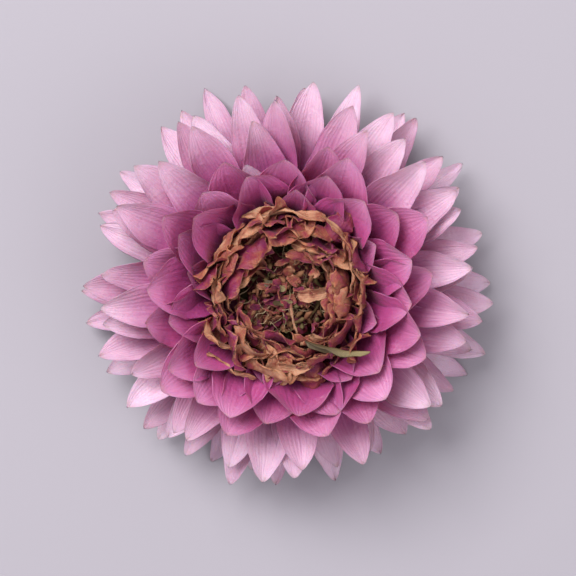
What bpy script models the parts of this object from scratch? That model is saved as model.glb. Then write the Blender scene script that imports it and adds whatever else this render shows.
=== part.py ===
"""Dried strawflower head, cut flush under the bloom and lying on its back.

Metres, +Z up. The origin is the middle of the cut scar on the underside, where the head rests, and the
head's axis is +Z. Papery bracts stand round a cone-shaped receptacle in one golden-angle spiral: short
straw-coloured scales underneath, long pale rays, broad magenta bracts, a shrivelled ochre ring that
leans in over the disc, and withered florets on the disc itself.
"""

import math
from dataclasses import dataclass

import bmesh
import bpy
import numpy as np

MM = 0.001
GOLDEN_ANGLE = math.pi * (3 - math.sqrt(5))
BLADE_THICKNESS = 0.6 * MM
GAP = 0.35 * MM
CORE_SIDES = 28
RESTING_BRACTS = 3

# Outline of the receptacle, from the cut scar up its flank to the disc: (radius, height).
RECEPTACLE_FLANK = (
    (2.2 * MM, 0.0),
    (2.5 * MM, 1.2 * MM),
    (3.9 * MM, 2.6 * MM),
    (5.0 * MM, 4.8 * MM),
    (5.7 * MM, 7.4 * MM),
    (5.5 * MM, 8.8 * MM),
)
DISC_CENTRE_HEIGHT = 9.2 * MM


@dataclass(frozen=True)
class Whorl:
    """A run of the spiral that is one colour. Pairs are its values at its top and at its bottom."""

    name: str
    seed: int
    count: int
    turn: float
    root_height: tuple
    length: tuple
    width: tuple
    lift: tuple
    curl: tuple
    cup: tuple
    ring_wall: float
    ring_inset: float
    ring_margin: tuple
    root_depth: tuple
    stations: tuple
    claw: float
    widest: float
    point: float
    wander: float
    colour: tuple
    roughness: float


@dataclass(frozen=True)
class Bract:
    """One papery bract: an arc in a plane through the head's axis, with a cupped blade along it."""

    azimuth: float
    root_radius: float
    root_height: float
    length: float
    half_width: float
    lift: float
    curl: float
    cup: float
    twist: float
    sway: float


BLADE_STATIONS = (0.0, 0.2, 0.42, 0.64, 0.84, 1.0)
SCALE_STATIONS = (0.0, 0.35, 0.7, 1.0)
CURLED_STATIONS = (0.0, 0.18, 0.36, 0.54, 0.72, 0.88, 1.0)

INNER = Whorl(
    name="inner_bracts",
    seed=11,
    count=34,
    turn=0.0,
    root_height=(8.2 * MM, 7.3 * MM),
    length=(7.4 * MM, 9.6 * MM),
    width=(5.2 * MM, 4.4 * MM),
    lift=(61.0, 42.0),
    curl=(-20.0, -20.0),
    cup=(0.18, 0.16),
    ring_wall=1.5 * MM,
    ring_inset=0.0,
    ring_margin=(0.40 * MM, 0.40 * MM),
    root_depth=(0.5, 0.5),
    stations=BLADE_STATIONS,
    claw=0.55,
    widest=0.60,
    point=0.74,
    wander=1.0,
    colour=(0.42, 0.07, 0.22, 1.0),
    roughness=0.45,
)
OUTER = Whorl(
    name="outer_bracts",
    seed=23,
    count=84,
    turn=34 * GOLDEN_ANGLE,
    root_height=(5.3 * MM, 3.2 * MM),
    length=(12.0 * MM, 14.6 * MM),
    width=(4.5 * MM, 3.4 * MM),
    lift=(36.0, -2.0),
    curl=(-20.0, -16.0),
    cup=(0.16, 0.14),
    ring_wall=1.5 * MM,
    ring_inset=0.0,
    ring_margin=(0.55 * MM, 0.45 * MM),
    root_depth=(0.5, 0.5),
    stations=BLADE_STATIONS,
    claw=0.42,
    widest=0.62,
    point=0.86,
    wander=1.0,
    colour=(0.66, 0.34, 0.50, 1.0),
    roughness=0.50,
)
SCALES = Whorl(
    name="base_scales",
    seed=37,
    count=24,
    turn=118 * GOLDEN_ANGLE,
    root_height=(2.1 * MM, 1.5 * MM),
    length=(6.4 * MM, 3.4 * MM),
    width=(3.4 * MM, 2.8 * MM),
    lift=(-8.0, -12.0),
    curl=(-6.0, -4.0),
    cup=(0.10, 0.08),
    ring_wall=1.1 * MM,
    ring_inset=0.0,
    ring_margin=(0.35 * MM, 0.35 * MM),
    root_depth=(0.5, 0.5),
    stations=SCALE_STATIONS,
    claw=0.70,
    widest=0.50,
    point=0.80,
    wander=0.5,
    colour=(0.46, 0.31, 0.20, 1.0),
    roughness=0.60,
)
WITHERED = Whorl(
    name="withered_bracts",
    seed=53,
    count=24,
    turn=0.4,
    root_height=(10.1 * MM, 9.9 * MM),
    length=(4.8 * MM, 6.6 * MM),
    width=(3.6 * MM, 4.8 * MM),
    lift=(66.0, 14.0),
    curl=(95.0, 150.0),
    cup=(0.10, 0.10),
    ring_wall=1.7 * MM,
    ring_inset=1.3 * MM,
    ring_margin=(0.40 * MM, 0.40 * MM),
    root_depth=(0.25, 0.85),
    stations=CURLED_STATIONS,
    claw=0.60,
    widest=0.50,
    point=0.70,
    wander=1.6,
    colour=(0.45, 0.20, 0.09, 1.0),
    roughness=0.65,
)

# Withered florets on the disc.
FLORET_SEED = 71
FLORET_COUNT = 44
FLORET_FIELD = 3.2 * MM
FLORET_BED_RADIUS = 3.9 * MM
FLORET_BED_DEPTH = 1.1 * MM
FLORET_RISE = (1.1 * MM, 2.3 * MM)
FLORET_RADIUS = 0.36 * MM
FLORET_SIDES = 5


def clear_scene():
    """Removes every object that the file opens with."""
    for thing in list(bpy.data.objects):
        bpy.data.objects.remove(thing, do_unlink=True)


def finish_material(name, colour, roughness):
    """A plain Principled material in a piece's own colour."""
    material = bpy.data.materials.new(name)
    material.use_nodes = True
    shader = material.node_tree.nodes["Principled BSDF"]
    shader.inputs["Base Color"].default_value = colour
    shader.inputs["Roughness"].default_value = roughness
    shader.inputs["Metallic"].default_value = 0.0
    return material


def mesh_object(name, points, faces):
    """A linked object whose closed mesh has its faces pointing outwards."""
    mesh = bpy.data.meshes.new(name)
    mesh.from_pydata([tuple(p) for p in points], [], faces)
    shaped = bmesh.new()
    shaped.from_mesh(mesh)
    bmesh.ops.recalc_face_normals(shaped, faces=shaped.faces)
    shaped.to_mesh(mesh)
    shaped.free()
    thing = bpy.data.objects.new(name, mesh)
    bpy.context.scene.collection.objects.link(thing)
    return thing


def turned(name, outline, sides=CORE_SIDES):
    """A solid turned about Z from an outline that starts and ends on the axis, or is a closed loop off it."""
    on_axis = outline[0][0] == 0.0
    rings = outline[1:-1] if on_axis else outline
    points = []
    for radius, height in rings:
        for side in range(sides):
            angle = 2 * math.pi * side / sides
            points.append((radius * math.cos(angle), radius * math.sin(angle), height))
    last = len(rings)
    faces = []
    for ring in range(last - 1 if on_axis else last):
        above = (ring + 1) % last
        for side in range(sides):
            after = (side + 1) % sides
            faces.append(
                (ring * sides + side, ring * sides + after, above * sides + after, above * sides + side)
            )
    if on_axis:
        bottom, top = len(points), len(points) + 1
        points += [(0.0, 0.0, outline[0][1]), (0.0, 0.0, outline[-1][1])]
        for side in range(sides):
            after = (side + 1) % sides
            faces.append((bottom, after, side))
            faces.append((top, (last - 1) * sides + side, (last - 1) * sides + after))
    return mesh_object(name, points, faces)


def flank_radius(height):
    """Radius of the receptacle's flank at a height."""
    radii, heights = zip(*RECEPTACLE_FLANK)
    return float(np.interp(height, heights, radii))


def ring_inside(whorl, height):
    """Inner radius, at a height, of the ring that a whorl grows from."""
    return flank_radius(height) + GAP - whorl.ring_inset


def between(pair, share):
    """Value a share of the way from the first of a pair to the second."""
    return pair[0] + (pair[1] - pair[0]) * share


def spiral(whorl):
    """The bracts of a whorl, placed by the golden angle, each a little different by a seeded draw."""
    draw = np.random.default_rng(whorl.seed)
    bracts = []
    for k in range(whorl.count):
        share = k / (whorl.count - 1)
        nudge = draw.uniform(-1.0, 1.0, 8) * whorl.wander
        height = between(whorl.root_height, share)
        depth = between(whorl.root_depth, share)
        length = between(whorl.length, share) * (1 + 0.06 * nudge[0])
        curl = math.radians(between(whorl.curl, share) + 5.0 * nudge[3])
        bracts.append(
            Bract(
                azimuth=whorl.turn + k * GOLDEN_ANGLE + math.radians(3.0) * nudge[1],
                root_radius=ring_inside(whorl, height) + depth * whorl.ring_wall,
                root_height=height,
                length=length,
                half_width=0.5 * between(whorl.width, share) * (1 + 0.10 * nudge[2]),
                lift=math.radians(between(whorl.lift, share) + 2.0 * nudge[4]),
                curl=curl,
                cup=between(whorl.cup, share) * (1 + 0.3 * nudge[5]),
                twist=math.radians(10.0) * nudge[6],
                sway=0.05 * nudge[7],
            )
        )
    return bracts


def laid_down(bract):
    """The bract with its lift set so that its tip comes down to the surface the head lies on."""
    half = bract.curl / 2
    reach = bract.length * math.sin(half) / half
    lift = -math.asin(bract.root_height / reach) - half
    return Bract(**{**bract.__dict__, "lift": lift, "twist": 0.0})


def half_width(whorl, bract, along):
    """Half the blade's width: a claw that widens to its widest place and then runs out to the tip."""
    swell = math.sin(0.5 * math.pi * min(along / whorl.widest, 1.0))
    taper = (1 - along**4) ** whorl.point
    return bract.half_width * (whorl.claw + (1 - whorl.claw) * swell) * taper


def blade_point(whorl, bract, along, across, over):
    """A point of the blade: along 0 to 1 from root to tip, across -1 to 1, and over it by a distance."""
    half_turn = bract.curl * along / 2
    reach = bract.length * along * float(np.sinc(half_turn / math.pi))
    radius = bract.root_radius + reach * math.cos(bract.lift + half_turn)
    height = bract.root_height + reach * math.sin(bract.lift + half_turn)
    slope = bract.lift + 2 * half_turn
    wide = half_width(whorl, bract, along)
    side = wide * across
    rise = bract.cup * 2 * wide * across**2 + over
    turn = bract.twist * along
    side, rise = (
        side * math.cos(turn) - rise * math.sin(turn),
        side * math.sin(turn) + rise * math.cos(turn),
    )
    side += bract.sway * bract.length * along**2
    radius -= rise * math.sin(slope)
    height += rise * math.cos(slope)
    cos_a, sin_a = math.cos(bract.azimuth), math.sin(bract.azimuth)
    return (radius * cos_a - side * sin_a, radius * sin_a + side * cos_a, height)


def blade(whorl, bract, name):
    """One bract as a closed blade, lens-shaped across, that ends in a point."""
    thick = 0.5 * BLADE_THICKNESS
    points = []
    for along in whorl.stations[:-1]:
        for across, over in ((-1.0, 0.0), (0.0, thick), (1.0, 0.0), (0.0, -thick)):
            points.append(blade_point(whorl, bract, along, across, over))
    points.append(blade_point(whorl, bract, 1.0, 0.0, 0.0))
    tip = len(points) - 1
    faces = [(0, 1, 2), (0, 2, 3)]
    for start in range(0, tip - 4, 4):
        for edge in range(4):
            here, there = start + edge, start + (edge + 1) % 4
            # The diagonal runs from the same end on the upper and the lower face.
            if edge in (0, 3):
                faces += [(here, there, here + 4), (there, there + 4, here + 4)]
            else:
                faces += [(here, there, there + 4), (here, there + 4, here + 4)]
    for edge in range(4):
        faces.append((tip - 4 + edge, tip - 4 + (edge + 1) % 4, tip))
    return mesh_object(name, points, faces)


def shells(shaped):
    """The separate closed surfaces of a mesh, each a list of its faces."""
    found = []
    for face in shaped.faces:
        face.tag = False
    for first in shaped.faces:
        if first.tag:
            continue
        first.tag = True
        shell = [first]
        for face in shell:
            for edge in face.edges:
                for other in edge.link_faces:
                    if not other.tag:
                        other.tag = True
                        shell.append(other)
        found.append(shell)
    return found


def keep_whole(mesh):
    """Keeps the largest closed surface, which fills any sealed hollow and drops loose scraps."""
    shaped = bmesh.new()
    shaped.from_mesh(mesh)
    found = sorted(shells(shaped), key=len)
    spare = [face for shell in found[:-1] for face in shell]
    bmesh.ops.delete(shaped, geom=spare, context="FACES")
    bmesh.ops.triangulate(shaped, faces=shaped.faces)
    shaped.to_mesh(mesh)
    shaped.free()


def fused(body, repeats, name):
    """The body with its repeats joined to it by one union, under the node's name."""
    gathered = bpy.data.collections.new(name + "_repeats")
    bpy.context.scene.collection.children.link(gathered)
    for thing in repeats:
        bpy.context.scene.collection.objects.unlink(thing)
        gathered.objects.link(thing)
    union = body.modifiers.new("union", "BOOLEAN")
    union.operation = "UNION"
    union.operand_type = "COLLECTION"
    union.collection = gathered
    union.solver = "EXACT"
    bpy.context.view_layer.update()
    evaluated = body.evaluated_get(bpy.context.evaluated_depsgraph_get())
    whole = bpy.data.meshes.new_from_object(evaluated)
    body.modifiers.clear()
    keep_whole(whole)
    body.data = whole
    for thing in repeats:
        bpy.data.objects.remove(thing, do_unlink=True)
    bpy.data.collections.remove(gathered)
    body.name = name
    whole.name = name
    return body


def dressed(body, colour, roughness):
    """The body in its own colour, flat-faced as it was built."""
    body.data.materials.clear()
    body.data.materials.append(finish_material(body.name, colour, roughness))
    return body


def receptacle():
    """The cone that carries every bract, with the flat scar of the cut stem under it."""
    outline = [(0.0, 0.0), *RECEPTACLE_FLANK, (0.0, DISC_CENTRE_HEIGHT)]
    return dressed(turned("receptacle", outline), (0.30, 0.24, 0.12, 1.0), 0.8)


def ring_core(whorl):
    """The ring round the receptacle that a whorl's claws grow together into."""
    top = whorl.root_height[0] + whorl.ring_margin[0]
    bottom = whorl.root_height[1] - whorl.ring_margin[1]
    levels = (bottom, 0.5 * (bottom + top), top)
    inside = [(ring_inside(whorl, z), z) for z in levels]
    outside = [(r + whorl.ring_wall, z) for r, z in inside]
    return turned(whorl.name + "_ring", inside + outside[::-1])


def bract_node(whorl, resting=0):
    """A whorl's bracts in one body; the last few are laid down for the head to rest on."""
    bracts = spiral(whorl)
    first_resting = len(bracts) - resting
    bracts = bracts[:first_resting] + [laid_down(b) for b in bracts[first_resting:]]
    blades = [blade(whorl, b, f"{whorl.name}_{k}") for k, b in enumerate(bracts)]
    return dressed(fused(ring_core(whorl), blades, whorl.name), whorl.colour, whorl.roughness)


def floret(k, draw):
    """One withered floret: a thin tube that leans outwards and spreads a little at its mouth."""
    share = math.sqrt((k + 0.5) / FLORET_COUNT)
    out = FLORET_FIELD * share
    angle = k * GOLDEN_ANGLE
    rise = between(FLORET_RISE, draw.uniform()) * (1.15 - 0.45 * share)
    lean = 0.35 * share + 0.12 * draw.uniform(-1.0, 1.0)
    foot = DISC_CENTRE_HEIGHT + GAP + 0.4 * MM
    levels = ((0.0, 0.75), (0.55, 0.9), (1.0, 1.25))
    points = []
    for level, spread in levels:
        centre = out + rise * level * math.sin(lean)
        for side in range(FLORET_SIDES):
            around = 2 * math.pi * side / FLORET_SIDES + k
            points.append(
                (
                    centre * math.cos(angle) + FLORET_RADIUS * spread * math.cos(around),
                    centre * math.sin(angle) + FLORET_RADIUS * spread * math.sin(around),
                    foot + rise * level * math.cos(lean),
                )
            )
    faces = [tuple(range(FLORET_SIDES))[::-1]]
    for ring in range(len(levels) - 1):
        for side in range(FLORET_SIDES):
            here = ring * FLORET_SIDES + side
            after = ring * FLORET_SIDES + (side + 1) % FLORET_SIDES
            faces.append((here, after, after + FLORET_SIDES, here + FLORET_SIDES))
    mouth = (len(levels) - 1) * FLORET_SIDES
    faces.append(tuple(range(mouth, mouth + FLORET_SIDES)))
    return mesh_object(f"floret_{k}", points, faces)


def disc_florets():
    """The withered florets, standing on a thin round bed above the receptacle."""
    draw = np.random.default_rng(FLORET_SEED)
    florets = [floret(k, draw) for k in range(FLORET_COUNT)]
    low = DISC_CENTRE_HEIGHT + GAP
    high = low + FLORET_BED_DEPTH
    bed = turned(
        "floret_bed",
        [(0.0, low), (FLORET_BED_RADIUS, low), (FLORET_BED_RADIUS, high - 0.4 * MM), (0.0, high)],
    )
    return dressed(fused(bed, florets, "disc_florets"), (0.16, 0.09, 0.045, 1.0), 0.9)


def build():
    """Makes the whole head."""
    clear_scene()
    receptacle()
    bract_node(SCALES)
    bract_node(OUTER, resting=RESTING_BRACTS)
    bract_node(INNER)
    bract_node(WITHERED)
    disc_florets()


build()
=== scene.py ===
"""Dried strawflower head: the finish of every surface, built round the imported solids.

Each whorl of papery bracts is laid out by the golden-angle rule that its solid follows, and a Geometry
Nodes tree bends one thin blade along every bract's arc. The disc florets and their bristles come from
trees of their own. The head lies on its back at the origin with its axis along +Z, in metres.
"""

import logging
import math
from dataclasses import dataclass, replace
from enum import Enum

import bpy
import numpy as np
from mathutils import Matrix, Vector

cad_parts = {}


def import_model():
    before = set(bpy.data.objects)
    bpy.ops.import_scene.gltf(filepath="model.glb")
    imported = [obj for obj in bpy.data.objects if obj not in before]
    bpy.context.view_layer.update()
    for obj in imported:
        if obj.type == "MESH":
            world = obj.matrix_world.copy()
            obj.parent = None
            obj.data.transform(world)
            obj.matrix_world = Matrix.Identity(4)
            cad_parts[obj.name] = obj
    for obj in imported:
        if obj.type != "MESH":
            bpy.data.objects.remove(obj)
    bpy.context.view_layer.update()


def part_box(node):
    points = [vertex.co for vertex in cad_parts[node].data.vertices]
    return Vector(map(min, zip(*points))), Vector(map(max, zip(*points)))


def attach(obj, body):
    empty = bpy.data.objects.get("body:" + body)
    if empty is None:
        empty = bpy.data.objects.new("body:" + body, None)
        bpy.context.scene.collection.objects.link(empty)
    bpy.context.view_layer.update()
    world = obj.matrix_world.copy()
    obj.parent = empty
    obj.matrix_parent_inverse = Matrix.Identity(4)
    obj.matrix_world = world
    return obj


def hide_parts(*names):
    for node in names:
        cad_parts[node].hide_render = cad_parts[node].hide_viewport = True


MM = 0.001
GOLDEN_ANGLE = math.pi * (3 - math.sqrt(5))
ROOT_BODY = "root"

Colour = tuple[float, float, float, float]
Pair = tuple[float, float]

# A draw that only the looks use starts from its piece's own seed and one of these.
LOOKS_SEED = 1000
TONE_SEED = 3000
TUCKED_SEED = 4000
SHEETS_SEED = 5000

# How far one bract departs from its run's rule at a wander of 1, as shares of its size or in degrees.
LENGTH_SHARE = 0.06
WIDTH_SHARE = 0.10
CUP_SHARE = 0.3
SWAY_SHARE = 0.05
AZIMUTH_TURN = 3.0
LIFT_TURN = 2.0
CURL_TURN = 5.0
TWIST_TURN = 10.0

MERGE_DISTANCE = 1e-7
TURNED_SIDES = 72

log = logging.getLogger("strawflower")


def display(red: int, green: int, blue: int) -> Colour:
    """Linear colour of an 8-bit display colour.

    Args:
        red: Red, 0 to 255.
        green: Green, 0 to 255.
        blue: Blue, 0 to 255.

    Returns:
        The colour with an alpha of 1, as the shader sockets take it.
    """
    shares = np.array((red, green, blue)) / 255
    linear = np.where(shares <= 0.04045, shares / 12.92, ((shares + 0.055) / 1.055) ** 2.4)
    return (*(float(value) for value in linear), 1.0)


def between(pair: Pair, share: float) -> float:
    """Value a share of the way from the first of a pair to the second."""
    return pair[0] + (pair[1] - pair[0]) * share


class Field:
    """A value that varies over a surface: ordinary arithmetic on it lays out math nodes in its tree."""

    def __init__(self, tree: bpy.types.NodeTree, socket: bpy.types.NodeSocket) -> None:
        """Wraps an output socket of a tree."""
        self.tree = tree
        self.socket = socket

    def math(self, operation: str, *others: "Field | float") -> "Field":
        """Adds one Math node.

        Args:
            operation: The Math node's operation.
            others: The operands after this one.

        Returns:
            The node's result.
        """
        node = self.tree.nodes.new("ShaderNodeMath")
        node.operation = operation
        self.tree.links.new(self.socket, node.inputs[0])
        for socket, other in zip(node.inputs[1:], others):
            if isinstance(other, Field):
                self.tree.links.new(other.socket, socket)
            else:
                socket.default_value = other
        return Field(self.tree, node.outputs[0])

    def __add__(self, other: "Field | float") -> "Field":
        """Sum."""
        return self.math("ADD", other)

    def __sub__(self, other: "Field | float") -> "Field":
        """Difference."""
        return self.math("SUBTRACT", other)

    def __mul__(self, other: "Field | float") -> "Field":
        """Product."""
        return self.math("MULTIPLY", other)

    def __truediv__(self, other: "Field | float") -> "Field":
        """Quotient."""
        return self.math("DIVIDE", other)

    def __pow__(self, other: "Field | float") -> "Field":
        """Power of a value that is never negative."""
        return self.math("MAXIMUM", 0.0).math("POWER", other)

    def __neg__(self) -> "Field":
        """Negative."""
        return self.math("MULTIPLY", -1.0)

    def __rsub__(self, other: float) -> "Field":
        """Difference from a plain number."""
        return (-self) + other

    def __rtruediv__(self, other: float) -> "Field":
        """Quotient of a plain number by a value that is above 0."""
        return (self ** -1.0) * other

    __radd__ = __add__
    __rmul__ = __mul__

    def sin(self) -> "Field":
        """Sine of an angle in radians."""
        return self.math("SINE")

    def cos(self) -> "Field":
        """Cosine of an angle in radians."""
        return self.math("COSINE")

    def size(self) -> "Field":
        """The value without its sign."""
        return self.math("ABSOLUTE")

    def at_most(self, limit: float) -> "Field":
        """The value, held down to a limit."""
        return self.math("MINIMUM", limit)

    def at_least(self, limit: "Field | float") -> "Field":
        """The value, held up to a limit."""
        return self.math("MAXIMUM", limit)

    def step(self, low: float, high: float) -> "Field":
        """A smooth step.

        Args:
            low: The value that becomes 0.
            high: The value that becomes 1.

        Returns:
            0 up to low, 1 from high, and a smooth rise between.
        """
        node = self.tree.nodes.new("ShaderNodeMapRange")
        node.interpolation_type = "SMOOTHSTEP"
        node.inputs["From Min"].default_value = low
        node.inputs["From Max"].default_value = high
        self.tree.links.new(self.socket, node.inputs["Value"])
        return Field(self.tree, node.outputs["Result"])


class Tree:
    """A node tree under construction, with short ways to add, feed and join its nodes."""

    def __init__(self, tree: bpy.types.NodeTree) -> None:
        """Starts on a tree and keeps any nodes it has."""
        self.tree = tree

    def add(self, kind: str, feeds: dict[str, object] | None = None, **settings: object) -> bpy.types.Node:
        """Adds a node.

        Args:
            kind: The node's type name.
            feeds: A plain value, a socket or a Field for each input, by the input's name.
            settings: Properties to set on the node.

        Returns:
            The new node.
        """
        node = self.tree.nodes.new(kind)
        for key, value in settings.items():
            setattr(node, key, value)
        for key, given in (feeds or {}).items():
            self.join(given, node.inputs[key])
        return node

    def join(self, given: object, target: bpy.types.NodeSocket) -> None:
        """Links a socket or a Field into an input, or sets the input to a plain value.

        Args:
            given: The socket, Field or plain value.
            target: The input that takes it.
        """
        if isinstance(given, Field):
            self.tree.links.new(given.socket, target)
        elif isinstance(given, bpy.types.NodeSocket):
            self.tree.links.new(given, target)
        else:
            target.default_value = given

    def value(self, socket: bpy.types.NodeSocket) -> Field:
        """An output socket as a value for arithmetic."""
        return Field(self.tree, socket)

    def vector(self, x: "Field | float", y: "Field | float", z: "Field | float") -> bpy.types.NodeSocket:
        """A vector of three values."""
        return self.add("ShaderNodeCombineXYZ", {"X": x, "Y": y, "Z": z}).outputs[0]

    def noise(
        self, vector: bpy.types.NodeSocket, scale: float, detail: float = 2.0, rough: float = 0.5
    ) -> Field:
        """Smooth noise from 0 to 1.

        Args:
            vector: Where the noise is read.
            scale: How many features there are in each unit.
            detail: How many finer layers there are.
            rough: How strong the finer layers are.

        Returns:
            The noise.
        """
        feeds = {"Vector": vector, "Scale": scale, "Detail": detail, "Roughness": rough}
        return self.value(self.add("ShaderNodeTexNoise", feeds, noise_dimensions="3D").outputs[0])


class GrowthTree(Tree):
    """A Geometry Nodes tree with named inputs that ends in one realised, dressed mesh."""

    def __init__(self, name: str) -> None:
        """Makes the tree with its geometry sockets.

        Args:
            name: Name of the tree.
        """
        super().__init__(bpy.data.node_groups.new(name, "GeometryNodeTree"))
        sockets = self.tree.interface
        sockets.new_socket("Geometry", in_out="INPUT", socket_type="NodeSocketGeometry")
        sockets.new_socket("Geometry", in_out="OUTPUT", socket_type="NodeSocketGeometry")
        self.entry = self.add("NodeGroupInput")
        self.exit = self.add("NodeGroupOutput")

    def number(self, name: str, default: float, kind: str = "NodeSocketFloat") -> Field:
        """Adds a named number input.

        Args:
            name: The input's name.
            default: Its value where none is given.
            kind: The socket type, whole-number or not.

        Returns:
            The input's value.
        """
        socket = self.tree.interface.new_socket(name, in_out="INPUT", socket_type=kind)
        socket.default_value = default
        return self.value(self.entry.outputs[name])

    def count(self, name: str, default: int) -> Field:
        """Adds a named whole-number input and returns its value."""
        return self.number(name, default, "NodeSocketInt")

    def carried(self, name: str) -> Field:
        """The value that each point carries under a name."""
        node = self.add("GeometryNodeInputNamedAttribute", {"Name": name}, data_type="FLOAT")
        return self.value(node.outputs["Attribute"])

    def store(self, geometry: bpy.types.NodeSocket, **values: Field) -> bpy.types.NodeSocket:
        """Writes values on the points of a geometry.

        Args:
            geometry: The geometry to write on.
            values: The value to store under each name.

        Returns:
            The geometry that carries them.
        """
        for name, value in values.items():
            feeds = {"Geometry": geometry, "Name": name, "Value": value}
            node = self.add("GeometryNodeStoreNamedAttribute", feeds, data_type="FLOAT", domain="POINT")
            geometry = node.outputs["Geometry"]
        return geometry

    def unit_tube(self, around: Field, along: Field) -> tuple[bpy.types.NodeSocket, Field, Field, Field]:
        """An open tube of radius 1 from z = 0 to 1, before it is shaped.

        Args:
            around: Points round the tube.
            along: Stretches from one end to the other.

        Returns:
            The tube, its two cross coordinates and its height.
        """
        feeds = {"Vertices": around, "Side Segments": along, "Radius": 1.0, "Depth": 1.0}
        tube = self.add("GeometryNodeMeshCylinder", feeds, fill_type="NONE")
        position = self.add("GeometryNodeInputPosition").outputs[0]
        place = self.add("ShaderNodeSeparateXYZ", {"Vector": position})
        x, y, z = (self.value(socket) for socket in place.outputs)
        return tube.outputs["Mesh"], x, y, z + 0.5

    def on_points(self, shape: bpy.types.NodeSocket) -> bpy.types.NodeSocket:
        """Puts the shape on every incoming point and makes it real, with what each point carries.

        Args:
            shape: The geometry to repeat.

        Returns:
            The real geometry.
        """
        feeds = {"Points": self.entry.outputs[0], "Instance": shape}
        placed = self.add("GeometryNodeInstanceOnPoints", feeds)
        return self.add("GeometryNodeRealizeInstances", {"Geometry": placed.outputs[0]}).outputs[0]

    def finish(self, geometry: bpy.types.NodeSocket, place: bpy.types.NodeSocket) -> None:
        """Moves the points to their place, closes the collapsed ends and sets the finish.

        Args:
            geometry: The repeated shapes.
            place: Where each of their points goes.
        """
        socket = self.tree.interface.new_socket("Finish", in_out="INPUT", socket_type="NodeSocketMaterial")
        moved = self.add("GeometryNodeSetPosition", {"Geometry": geometry, "Position": place})
        feeds = {"Geometry": moved.outputs[0], "Distance": MERGE_DISTANCE}
        closed = self.add("GeometryNodeMergeByDistance", feeds)
        smooth = self.add("GeometryNodeSetShadeSmooth", {"Geometry": closed.outputs[0]})
        real = self.add("GeometryNodeRealizeInstances", {"Geometry": smooth.outputs[0]})
        feeds = {"Geometry": real.outputs[0], "Material": self.entry.outputs[socket.name]}
        self.join(self.add("GeometryNodeSetMaterial", feeds).outputs[0], self.exit.inputs[0])

    def grow(self, name: str, points: bpy.types.Mesh, inputs: dict[str, object]) -> bpy.types.Object:
        """Runs the tree on a mesh of points and keeps its result as a plain mesh.

        Args:
            name: Name of the new object.
            points: The points with what they carry.
            inputs: A value for each named input that isn't left at its default.

        Returns:
            The linked object, with no modifier on it.
        """
        grown = bpy.data.objects.new(name, points)
        bpy.context.scene.collection.objects.link(grown)
        modifier = grown.modifiers.new(name, "NODES")
        modifier.node_group = self.tree
        for item in self.tree.interface.items_tree:
            if item.name in inputs:
                modifier[item.identifier] = inputs[item.name]
        evaluated = grown.evaluated_get(bpy.context.evaluated_depsgraph_get())
        mesh = bpy.data.meshes.new_from_object(evaluated)
        grown.modifiers.remove(modifier)
        grown.data = mesh
        # The points' own mesh leaves an empty slot ahead of the finish.
        if mesh.materials[0] is None:
            mesh.materials.pop(index=0)
        mesh.name = name
        return grown


def carrying_points(name: str, columns: dict[str, object]) -> bpy.types.Mesh:
    """A mesh of loose points at the origin.

    Args:
        name: Name of the mesh.
        columns: For each name, the numbers that the points carry in order.

    Returns:
        The mesh.
    """
    count = len(next(iter(columns.values())))
    mesh = bpy.data.meshes.new(name)
    mesh.from_pydata([(0.0, 0.0, 0.0)] * count, [], [])
    for key, values in columns.items():
        store = mesh.attributes.new(key, "FLOAT", "POINT")
        store.data.foreach_set("value", np.asarray(values, np.float32))
    return mesh


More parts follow.
